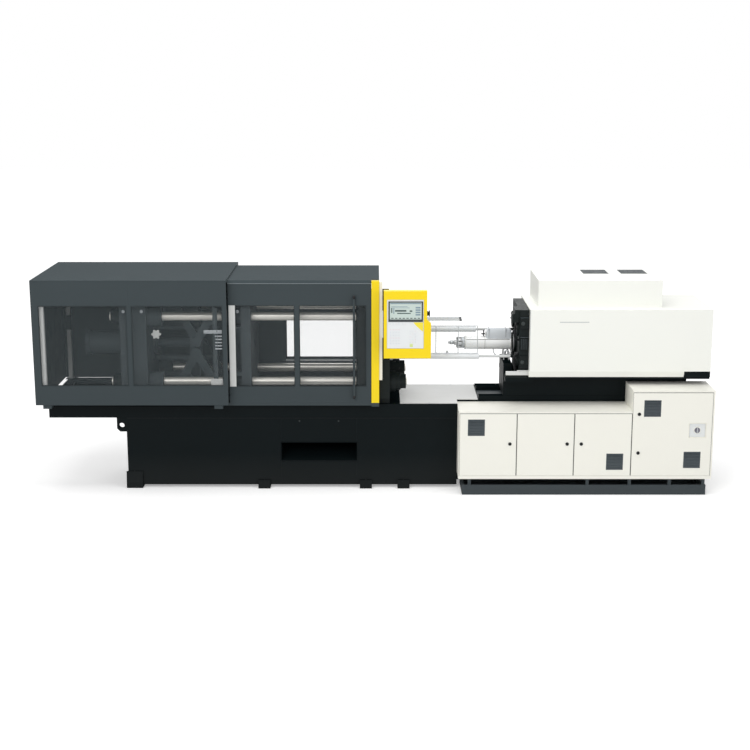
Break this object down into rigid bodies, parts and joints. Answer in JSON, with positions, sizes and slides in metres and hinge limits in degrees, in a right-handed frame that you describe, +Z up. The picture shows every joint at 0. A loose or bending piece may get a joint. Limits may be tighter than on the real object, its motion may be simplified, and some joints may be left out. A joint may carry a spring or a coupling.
{
  "type": "injection moulding machine",
  "caption": "Horizontal injection moulding machine: toggle clamp under grey guards, sliding gates, panel, injection unit with a long cover on a dark bed, and a cabinet.",
  "frame": {"origin": "on the floor, under the middle of the machine's length and width", "axes": "+X along the machine from the clamp end to the injection end, -Y towards the operator's side, +Z up"},
  "size_m": [6.372, 1.31, 2.052],
  "materials": {
    "guard_paint": "satin dark blue-grey paint",
    "bed_paint": "satin green-black paint",
    "cream_paint": "satin warm white paint",
    "yellow_paint": "satin yellow paint",
    "plinth_paint": "matt dark grey paint",
    "cast_paint": "painted castings with machined faces",
    "machined_steel": "ground or turned steel",
    "hard_chrome": "hard chromed bars",
    "light_sheet": "pale sheet and profiles",
    "dark_pane": "tinted window",
    "clear_pane": "clear polycarbonate",
    "keypad_film": "printed foil",
    "screen_plastic": "display window",
    "black_plastic": "moulded",
    "hose_rubber": "matt hose"
  },
  "bodies": {
    "machine_bed": {"clamp_base": "bed_paint", "injection_base": "bed_paint", "deck_plates": "light_sheet", "levelling_feet": "bed_paint", "lifting_lugs": "bed_paint", "rear_guard": "guard_paint", "rear_guard_panes": "dark_pane", "guard_posts": "light_sheet", "guard_frame": "guard_paint", "front_column": "yellow_paint", "tail_platen": "cast_paint", "fixed_platen": "cast_paint", "tie_bars": "hard_chrome", "tie_bar_nuts": "cast_paint", "clamp_cylinder": "cast_paint", "cabinet": "cream_paint", "plinth": "plinth_paint", "panel_housing": "yellow_paint", "keypad": "keypad_film", "screen": "screen_plastic", "brackets": "cast_paint", "oil_cooler": "cast_paint", "carriage_cylinders": "machined_steel"},
    "front_gate": {"front_gate": "guard_paint", "front_gate_panes": "dark_pane", "gate_post": "light_sheet"},
    "rear_gate": {"rear_gate": "guard_paint", "rear_gate_pane": "clear_pane"},
    "upper_rear_link": {"upper_rear_link": "cast_paint"},
    "lower_rear_link": {"lower_rear_link": "cast_paint"},
    "upper_front_link": {"upper_front_link": "cast_paint"},
    "lower_front_link": {"lower_front_link": "cast_paint"},
    "upper_cross_link": {"upper_cross_link": "cast_paint"},
    "lower_cross_link": {"lower_cross_link": "cast_paint"},
    "crosshead": {"crosshead": "cast_paint"},
    "moving_platen": {"moving_platen": "cast_paint"},
    "ejector": {"ejector": "machined_steel"},
    "stop_button": {"stop_button": "black_plastic"},
    "carriage": {"carriage": "bed_paint", "injection_housing": "bed_paint", "barrel": "machined_steel", "nozzle": "machined_steel", "barrel_cover": "light_sheet", "barrel_hoses": "hose_rubber", "injection_cover": "cream_paint", "top_box": "cream_paint", "injection_cylinders": "machined_steel"},
    "thrust_unit": {"thrust_unit": "cast_paint"},
    "screw": {"screw": "machined_steel"},
    "purge_guard": {"purge_guard": "clear_pane"},
    "door_1": {"door_1": "cream_paint"},
    "door_2": {"door_2": "cream_paint"},
    "door_3": {"door_3": "cream_paint"},
    "door_4": {"door_4": "cream_paint"},
    "lock_1": {"lock_1": "black_plastic"},
    "lock_2": {"lock_2": "black_plastic"},
    "lock_3": {"lock_3": "black_plastic"},
    "lock_4": {"lock_4": "black_plastic"},
    "lock_5": {"lock_5": "black_plastic"},
    "main_switch": {"main_switch": "black_plastic"}
  },
  "joints": [
    {"name": "clamp_fold", "type": "hinge", "parent": "machine_bed", "child": "upper_rear_link", "pos_m": [-1.908, 0, 1.75], "axis": [0, -1, 0], "range_deg": [0, 60]},
    {"name": "upper_knee", "type": "hinge", "parent": "upper_rear_link", "child": "upper_front_link", "pos_m": [-1.708, 0, 1.40359], "axis": [0, 1, 0], "range_deg": [0, 120]},
    {"name": "platen_pivot", "type": "hinge", "parent": "upper_front_link", "child": "moving_platen", "pos_m": [-1.508, 0, 1.75], "axis": [0, -1, 0], "range_deg": [0, 60]},
    {"name": "lower_fold", "type": "hinge", "parent": "machine_bed", "child": "lower_rear_link", "pos_m": [-1.908, 0, 0.95], "axis": [0, 1, 0], "range_deg": [0, 60]},
    {"name": "lower_knee", "type": "hinge", "parent": "lower_rear_link", "child": "lower_front_link", "pos_m": [-1.708, 0, 1.29641], "axis": [0, -1, 0], "range_deg": [0, 120]},
    {"name": "upper_cross_pivot", "type": "hinge", "parent": "upper_rear_link", "child": "upper_cross_link", "pos_m": [-1.8255, 0, 1.60711], "axis": [0, 1, 0], "range_deg": [0, 120]},
    {"name": "crosshead_pivot", "type": "hinge", "parent": "upper_cross_link", "child": "crosshead", "pos_m": [-1.743, 0, 1.75], "axis": [0, -1, 0], "range_deg": [0, 60]},
    {"name": "lower_cross_pivot", "type": "hinge", "parent": "lower_rear_link", "child": "lower_cross_link", "pos_m": [-1.8255, 0, 1.09289], "axis": [0, -1, 0], "range_deg": [0, 120]},
    {"name": "ejector_slide", "type": "slide", "parent": "moving_platen", "child": "ejector", "axis": [1, 0, 0], "range_m": [0, 0.1]},
    {"name": "front_gate_slide", "type": "slide", "parent": "machine_bed", "child": "front_gate", "axis": [-1, 0, 0], "range_m": [0, 1.2]},
    {"name": "rear_gate_slide", "type": "slide", "parent": "machine_bed", "child": "rear_gate", "axis": [-1, 0, 0], "range_m": [0, 1.2]},
    {"name": "stop_button_press", "type": "slide", "parent": "machine_bed", "child": "stop_button", "axis": [-1, 0, 0], "range_m": [0, 0.006], "stiffness_N_per_m": 800},
    {"name": "carriage_slide", "type": "slide", "parent": "machine_bed", "child": "carriage", "axis": [-1, 0, 0], "range_m": [0, 0.35]},
    {"name": "screw_slide", "type": "slide", "parent": "carriage", "child": "thrust_unit", "axis": [-1, 0, 0], "range_m": [0, 0.25]},
    {"name": "screw_spin", "type": "hinge", "parent": "thrust_unit", "child": "screw", "pos_m": [2.3, 0, 1.35], "axis": [1, 0, 0], "continuous": true},
    {"name": "purge_guard_hinge", "type": "hinge", "parent": "machine_bed", "child": "purge_guard", "pos_m": [0.65, 0.25, 1.556], "axis": [-1, 0, 0], "range_deg": [0, 90]},
    {"name": "door_1_hinge", "type": "hinge", "parent": "machine_bed", "child": "door_1", "pos_m": [0.796, -0.65, 0.5], "axis": [0, 0, -1], "range_deg": [0, 110]},
    {"name": "door_2_hinge", "type": "hinge", "parent": "machine_bed", "child": "door_2", "pos_m": [1.337, -0.65, 0.5], "axis": [0, 0, -1], "range_deg": [0, 110]},
    {"name": "door_3_hinge", "type": "hinge", "parent": "machine_bed", "child": "door_3", "pos_m": [2.415, -0.65, 0.5], "axis": [0, 0, 1], "range_deg": [0, 110]},
    {"name": "door_4_hinge", "type": "hinge", "parent": "machine_bed", "child": "door_4", "pos_m": [3.169, -0.65, 0.6], "axis": [0, 0, 1], "range_deg": [0, 110]},
    {"name": "lock_1_turn", "type": "hinge", "parent": "door_1", "child": "lock_1", "pos_m": [1.271, -0.65, 0.503], "axis": [0, -1, 0], "range_deg": [0, 90]},
    {"name": "lock_2_turn", "type": "hinge", "parent": "door_2", "child": "lock_2", "pos_m": [1.811, -0.65, 0.503], "axis": [0, -1, 0], "range_deg": [0, 90]},
    {"name": "lock_3_turn", "type": "hinge", "parent": "door_3", "child": "lock_3", "pos_m": [1.944, -0.65, 0.503], "axis": [0, 1, 0], "range_deg": [0, 90]},
    {"name": "lock_4_turn", "type": "hinge", "parent": "door_4", "child": "lock_4", "pos_m": [2.48, -0.65, 0.792], "axis": [0, 1, 0], "range_deg": [0, 90]},
    {"name": "lock_5_turn", "type": "hinge", "parent": "door_4", "child": "lock_5", "pos_m": [2.482, -0.65, 0.415], "axis": [0, 1, 0], "range_deg": [0, 90]},
    {"name": "main_switch_turn", "type": "hinge", "parent": "door_4", "child": "main_switch", "pos_m": [3.0335, -0.64, 0.634], "axis": [0, 1, 0], "range_deg": [0, 90]}
  ],
  "couplings": [
    {"joint": "upper_knee", "follows": "clamp_fold", "ratio": 2},
    {"joint": "platen_pivot", "follows": "clamp_fold", "ratio": 1},
    {"joint": "lower_fold", "follows": "clamp_fold", "ratio": 1},
    {"joint": "lower_knee", "follows": "clamp_fold", "ratio": 2},
    {"joint": "upper_cross_pivot", "follows": "clamp_fold", "ratio": 2},
    {"joint": "crosshead_pivot", "follows": "clamp_fold", "ratio": 1},
    {"joint": "lower_cross_pivot", "follows": "clamp_fold", "ratio": 2}
  ]
}
